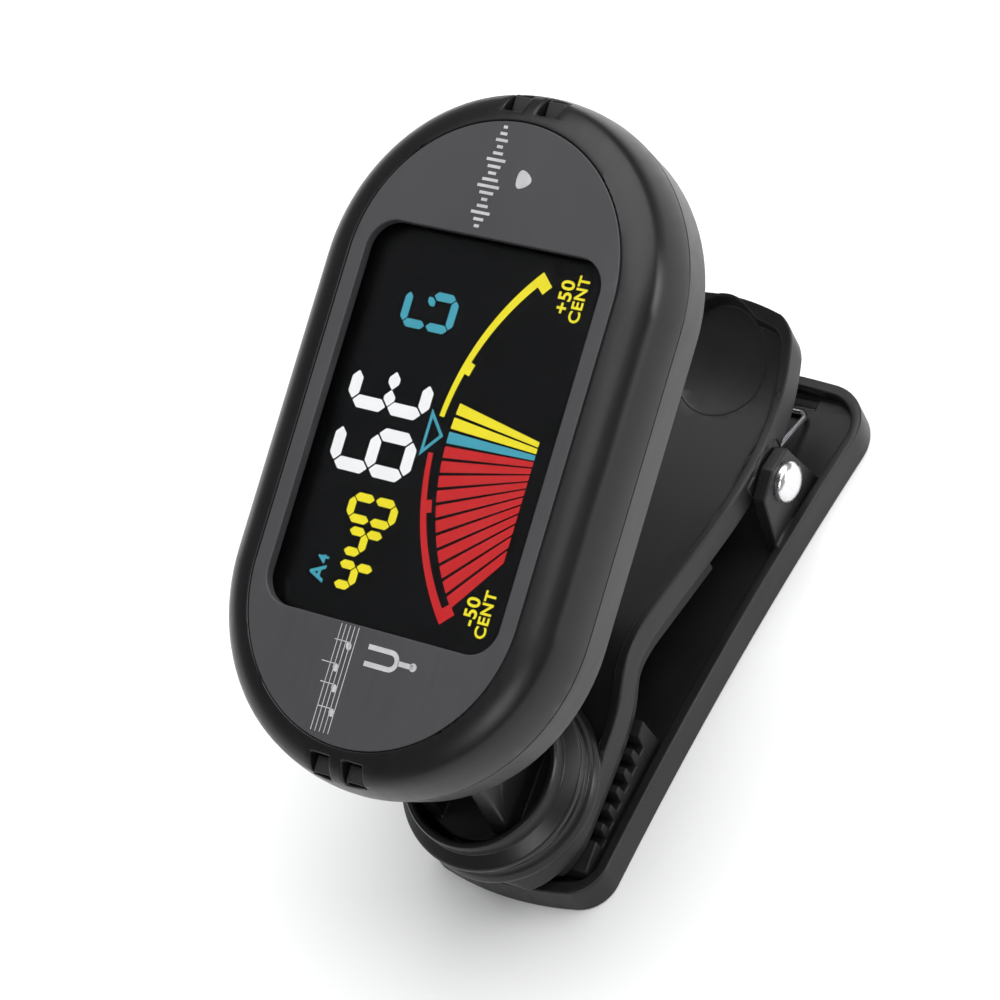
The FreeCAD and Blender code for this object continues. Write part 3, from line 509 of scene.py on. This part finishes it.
marks = bmesh.new()
stave_low, stave_step, stave_line = 1.2, 0.45, 0.07
for line in range(5):
    line_y = stave_low + line * stave_step
    strip(marks, -26.4, line_y, -17.2, line_y + stave_line)
for note_x, note_y in ((-24.6, 1.5), (-22.6, 1.95), (-20.9, 2.4), (-18.9, 1.75)):
    dot(marks, note_x, note_y, 0.36, 0.75, 0.4)
    strip(marks, note_x + 0.26, note_y + 0.05, note_x + 0.34, note_y + 1.55)
fork_x, fork_y = -19.2, -2.6
for side in (-1, 1):
    strip(marks, fork_x + side * 0.72 - 0.22, fork_y, fork_x + side * 0.72 + 0.22, -0.2)
arc_band(marks, fork_x, fork_y, 0.5, 0.94, math.pi / 2, math.pi, 18)
strip(marks, fork_x - 0.22, -5.0, fork_x + 0.22, -3.45)
dot(marks, fork_x, -5.0, 0.36)
wave = (0.25, 0.5, 0.95, 0.55, 0.3, 0.7, 1.1, 0.8, 0.4, 0.65, 0.95, 0.5, 0.3, 0.6, 0.35, 0.2)
wave_start, wave_step, wave_bar, wave_middle = 17.7, 0.58, 0.26, 1.6
for index, tall in enumerate(wave):
    bar_x = wave_start + index * wave_step
    strip(marks, bar_x, wave_middle - tall, bar_x + wave_bar, wave_middle + tall)
patch(marks, (21.5, -1.1), (22.4, -0.9), (23.3, -1.1), (23.1, -1.9), (22.4, -2.6), (21.7, -1.9),
      rounding=0.4)
on_face(marks, 0.002, print_height)
silver_print = moulded_plastic("silver print", (0.36, 0.36, 0.37), (0.46, 0.46, 0.47), 0.4,
                               grain=0.06, relief=0.5, clouds=1.2)
fit(piece_from(marks, "printed_marks"), "head", "plate_paint", silver_print)


# ---- display ----------------------------------------------------------------
# Black glass panel behind a clear lens.  Its lit segments show the string, its
# note, the reference pitch and a fan of bars under a cents scale.
lit_low = -1.97
lit_thick = 0.03


def lit(name, colour):
    """A lit segment: even colour, a little weaker towards patches of its mask."""
    material = bpy.data.materials.new(name)
    material.use_nodes = True
    nodes = material.node_tree.nodes
    link = material.node_tree.links.new
    shader = nodes["Principled BSDF"]
    shader.inputs["Base Color"].default_value = (*[part * 0.1 for part in colour], 1)
    shader.inputs["Roughness"].default_value = 0.4
    shader.inputs["Emission Strength"].default_value = 1
    where = nodes.new("ShaderNodeTexCoord").outputs["Object"]
    patches = nodes.new("ShaderNodeTexNoise")
    patches.inputs["Scale"].default_value = 1 / (2.2 * MM)
    patches.inputs["Detail"].default_value = 3
    link(where, patches.inputs["Vector"])
    glow = nodes.new("ShaderNodeMix")
    glow.data_type = "RGBA"
    glow.inputs["A"].default_value = (*[part * 0.88 for part in colour], 1)
    glow.inputs["B"].default_value = (*colour, 1)
    link(patches.outputs["Fac"], glow.inputs["Factor"])
    link(glow.outputs["Result"], shader.inputs["Emission Color"])
    return material


def segment(form, start, end, wide):
    """One bar of a digit: straight sides and ends that come to a blunt point."""
    way = Vector((end[0] - start[0], end[1] - start[1])).normalized() * wide / 2
    side = Vector((-way.y, way.x))
    first, last = Vector(start), Vector(end)
    corners = (first, first + way + side, last - way + side, last, last - way - side,
               first + way - side)
    patch(form, *[(c.x, c.y) for c in corners], rounding=wide * 0.07)


def digit(form, x, y, wide, tall, bar, bars):
    """A seven-segment figure; bars is the letters of those that are lit."""
    gap = bar * 0.11
    left, right = x + bar / 2, x + wide - bar / 2
    low, middle, high = y + bar / 2, y + tall / 2, y + tall - bar / 2
    runs = {"a": ((left, high), (right, high)), "b": ((right, middle), (right, high)),
            "c": ((right, low), (right, middle)), "d": ((left, low), (right, low)),
            "e": ((left, low), (left, middle)), "f": ((left, middle), (left, high)),
            "g": ((left, middle), (right, middle))}
    for letter in bars:
        start, end = (Vector(point) for point in runs[letter])
        way = (end - start).normalized() * gap
        segment(form, start + way, end - way, bar)


def lettering(form, words, x, y, size):
    """Small fixed captions of the display, such as a unit, centred on a point."""
    text = bpy.data.curves.new(words, "FONT")
    text.body = words
    text.size = size
    text.offset = size * 0.022
    text.align_x = "CENTER"
    text.space_character = 1.08
    holder = bpy.data.objects.new(words, text)
    scene.collection.objects.link(holder)
    bpy.context.view_layer.update()
    flat = bpy.data.meshes.new_from_object(
        holder.evaluated_get(bpy.context.evaluated_depsgraph_get()))
    flat.transform(Matrix.Translation((x, y, 0)))
    form.from_mesh(flat)
    bpy.data.objects.remove(holder)
    bpy.data.meshes.remove(flat)
    bmesh.ops.remove_doubles(form, verts=form.verts, dist=0.001)


fan_middle = (0.15, -16.5)
scale_middle = (0.15, -21.5)
scale_inner, scale_outer = 22.0, 22.45
fan_reach = 20.95
fan_foot = -9.4
fan_step = math.radians(4.55)
fan_half = math.radians(1.78)


def fan_bar(form, index):
    """One bar of the fan, between its level foot and its rounded top."""
    corners = []
    for angle in (index * fan_step - fan_half, index * fan_step + fan_half):
        slope = Vector((math.sin(angle), math.cos(angle)))
        foot = (fan_foot - fan_middle[1]) / slope.y
        rise = fan_middle[1] - scale_middle[1]
        reach = -rise * slope.y + math.sqrt((rise * slope.y) ** 2 + fan_reach ** 2 - rise ** 2)
        corners.append([(fan_middle[0] + slope.x * far, fan_middle[1] + slope.y * far)
                        for far in (foot, reach)])
    patch(form, corners[0][0], corners[1][0], corners[1][1], corners[0][1], rounding=0.06)


def scale_half(form, side):
    """Half of the cents scale: a thickening arc, a tick and an end flag."""
    arc_band(form, *scale_middle, scale_inner, scale_outer, side * math.radians(4.1),
             side * math.radians(38.0), 40, thicken=0.42)
    tick = side * math.radians(14.6)
    arc_band(form, *scale_middle, scale_inner - 0.62, scale_inner + 0.1, tick,
             side * math.radians(2.9), 4)
    arc_band(form, *scale_middle, scale_inner - 1.15, scale_outer,
             side * math.radians(40.0), side * math.radians(2.9), 4)


white, yellow, red, cyan = (bmesh.new() for _ in range(4))
large_bar, small_bar = 1.12, 0.74
digit(white, -4.6, 2.1, 4.3, 8.5, large_bar, "acdefg")
digit(white, 0.85, 2.1, 3.85, 8.5, large_bar, "adef")
segment(white, (1.5, 6.3), (2.95, 6.3), large_bar)
segment(white, (2.95, 6.3), (4.55, 6.3), large_bar)
digit(yellow, -14.4, 2.45, 2.5, 4.3, small_bar, "bcfg")
digit(yellow, -11.5, 2.45, 2.5, 4.3, small_bar, "bcfg")
digit(yellow, -8.7, 2.1, 2.6, 5.1, small_bar, "abcdef")
digit(cyan, 8.5, 2.2, 3.45, 5.5, small_bar, "acdef")
segment(cyan, (10.65, 4.62), (11.4, 5.35), 0.6)
for index in range(-11, 0):
    fan_bar(red, index)
fan_bar(cyan, 0)
fan_bar(yellow, 1)
fan_bar(yellow, 2)
scale_half(red, -1)
scale_half(yellow, 1)
pointer = cyan.faces.new([cyan.verts.new((x, y, 0)) for x, y in
                          ((-1.9, 1.75), (0.15, -0.05), (2.2, 1.75))])
pointer.normal_update()
bmesh.ops.inset_individual(cyan, faces=[pointer], thickness=0.26, depth=0,
                           use_even_offset=True)
bmesh.ops.delete(cyan, geom=[pointer], context="FACES")
lettering(cyan, "A", -13.55, 7.55, 2.1)
lettering(cyan, "4", -12.3, 7.55, 1.5)
lettering(yellow, "-50", -13.4, -8.3, 1.75)
lettering(yellow, "CENT", -13.4, -9.65, 1.5)
lettering(yellow, "+50", 13.75, -8.3, 1.75)
lettering(yellow, "CENT", 13.75, -9.65, 1.5)
for form, piece_name, colour in (
        (white, "lit_white", (0.92, 0.92, 0.92)),
        (yellow, "lit_yellow", (0.86, 0.74, 0.012)),
        (red, "lit_red", (0.56, 0.008, 0.01)),
        (cyan, "lit_cyan", (0.05, 0.34, 0.44))):
    on_face(form, lit_low, lit_thick)
    fit(piece_from(form, piece_name, 20), "head", "lcd_glass", lit(piece_name, colour))

panel_black = moulded_plastic("panel black", (0.0012, 0.0012, 0.0014), (0.002, 0.002, 0.0022),
                              0.2, grain=0.5, relief=0.05)
panel = welded("lcd_panel")
ease_edges(panel, 0.08)
fit(piece_from(panel, "display_panel"), "head", "lcd_glass", panel_black, "lcd_panel")


# ---- lens -------------------------------------------------------------------
# Clear acrylic window cemented in behind the plate, flush with its back.
def clear_lens(name):
    """Clear acrylic with the faintest wave and smear on its face."""
    material = bpy.data.materials.new(name)
    material.use_nodes = True
    nodes = material.node_tree.nodes
    link = material.node_tree.links.new
    shader = nodes["Principled BSDF"]
    shader.inputs["Base Color"].default_value = (0.93, 0.94, 0.95, 1)
    shader.inputs["Transmission Weight"].default_value = 1
    shader.inputs["IOR"].default_value = 1.14
    where = nodes.new("ShaderNodeTexCoord").outputs["Object"]
    smear = nodes.new("ShaderNodeTexNoise")
    smear.inputs["Scale"].default_value = 1 / (7 * MM)
    smear.inputs["Detail"].default_value = 3
    link(where, smear.inputs["Vector"])
    shine = nodes.new("ShaderNodeMapRange")
    shine.inputs["To Min"].default_value = 0.0
    shine.inputs["To Max"].default_value = 0.05
    link(smear.outputs["Fac"], shine.inputs["Value"])
    link(shine.outputs["Result"], shader.inputs["Roughness"])
    return material


lens = welded("display_lens")
ease_edges(lens, 0.08)
fit(piece_from(lens, "clear_lens"), "head", "lens_glass", clear_lens("clear acrylic"),
    "display_lens")


# ---- inside the head --------------------------------------------------------
# White frame, light guide, striped contact rubber, the green board with its chip
# and crystal, coin cell, two spring contacts and the brass vibration sensor.
frame_white = moulded_plastic("frame white", (0.6, 0.6, 0.58), (0.7, 0.7, 0.68), 0.5)
guide_clear = moulded_plastic("light guide", (0.7, 0.73, 0.76), (0.8, 0.82, 0.84), 0.15)
strip_rubber = soft_rubber("contact rubber", (0.2, 0.08, 0.12), (0.3, 0.12, 0.18))
solder_mask = moulded_plastic("solder mask", (0.006, 0.06, 0.02), (0.012, 0.11, 0.04), 0.3,
                              grain=0.5, clouds=1.0)
epoxy = moulded_plastic("epoxy", (0.01, 0.01, 0.01), (0.018, 0.018, 0.018), 0.5)
cell_steel = plated_steel("cell steel", (0.62, 0.62, 0.64), 0.26, across=(1, 6, 1))
contact_strip = plated_steel("contact strip", (0.66, 0.62, 0.52), 0.25, across=(1, 6, 1))
sensor_brass = plated_steel("sensor brass", (0.72, 0.5, 0.2), 0.3)
for node, piece_name, edge, slot_name, finish in (
        ("display_frame", "display_carrier", 0.1, "frame_white", frame_white),
        ("backlight", "light_guide", 0.08, "light_guide", guide_clear),
        ("contact_strip", "contact_rubber", 0.1, "strip_rubber", strip_rubber),
        ("circuit_board", "board", 0.06, "board_laminate", solder_mask),
        ("tuner_chip", "chip", 0.08, "chip_plastic", epoxy),
        ("crystal", "crystal_can", 0.2, "cell_steel", cell_steel),
        ("coin_cell", "button_cell", 0.25, "cell_steel", cell_steel),
        ("negative_contact", "cell_leaf", 0.04, "contact_nickel", contact_strip),
        ("positive_contact", "rim_tab", 0.04, "contact_nickel", contact_strip),
        ("piezo_sensor", "vibration_disc", 0.06, "sensor_brass", sensor_brass)):
    form = welded(node)
    ease_edges(form, edge, steps=2)
    fit(piece_from(form, piece_name), "head", slot_name, finish, node)


# ---- keys -------------------------------------------------------------------
# Four small rubber keys in notches at the ends of the bezel.
key_rubber = soft_rubber("key rubber", (0.012, 0.012, 0.013), (0.02, 0.02, 0.021), 0.5)
for node in ("power_key", "mode_key", "pitch_down_key", "pitch_up_key"):
    key = welded(node)
    ease_edges(key, 0.12)
    fit(piece_from(key, node + "_cap"), node, "key_rubber", key_rubber, node)


# ---- battery cover and screws -----------------------------------------------
# The cover slides off the back along its rails, pushed by a ribbed thumb patch.
# Four cross-head screws close the casing, two of them under the cover.
cover = welded("battery_cover")
ease_edges(cover, 0.12)
fit(piece_from(cover, "sliding_cover"), "battery_cover", "case_plastic", case_plastic,
    "battery_cover")
screws = welded("case_screws")
ease_edges(screws, 0.07)
fit(piece_from(screws, "cross_head_screws"), "head", "screw_steel", zinc, "case_screws")


# ---- floor and lights -------------------------------------------------------
# A pale matt table under the tuner, one large soft lamp over it and two small ones.
def matt_table(name):
    """Pale matt paint with hardly any mottle."""
    material = bpy.data.materials.new(name)
    material.use_nodes = True
    nodes = material.node_tree.nodes
    link = material.node_tree.links.new
    shader = nodes["Principled BSDF"]
    shader.inputs["Roughness"].default_value = 0.9
    shader.inputs["Specular IOR Level"].default_value = 0.1
    where = nodes.new("ShaderNodeTexCoord").outputs["Object"]
    mottle = nodes.new("ShaderNodeTexNoise")
    mottle.inputs["Scale"].default_value = 30
    link(where, mottle.inputs["Vector"])
    tint = nodes.new("ShaderNodeMix")
    tint.data_type = "RGBA"
    tint.inputs["A"].default_value = (0.86, 0.86, 0.86, 1)
    tint.inputs["B"].default_value = (0.89, 0.89, 0.89, 1)
    link(mottle.outputs["Fac"], tint.inputs["Factor"])
    link(tint.outputs["Result"], shader.inputs["Base Color"])
    return material


table = bmesh.new()
bmesh.ops.create_grid(table, x_segments=4, y_segments=4, size=3)
floor = piece_from(table, "table")
floor.data.materials.append(matt_table("table paint"))


def soft_lamp(name, place, size, power, aim=(0, 0, 0.025)):
    """A square soft lamp that faces the tuner."""
    lamp = bpy.data.lights.new(name, "AREA")
    lamp.size = size
    lamp.energy = power
    holder = bpy.data.objects.new(name, lamp)
    scene.collection.objects.link(holder)
    holder.location = place
    holder.rotation_euler = (Vector(aim) - Vector(place)).to_track_quat("-Z", "Y").to_euler()


soft_lamp("overhead lamp", (0.3, -0.1, 0.95), 1.3, 19.0)
soft_lamp("side lamp", (0.3, -0.8, 0.16), 0.3, 2.6)
soft_lamp("front lamp", (-0.6, -0.3, 0.5), 0.3, 1.5)

world = bpy.data.worlds.new("studio")
world.use_nodes = True
world.node_tree.nodes["Background"].inputs["Color"].default_value = (0.9, 0.92, 0.95, 1)
world.node_tree.nodes["Background"].inputs["Strength"].default_value = 0.25
scene.world = world
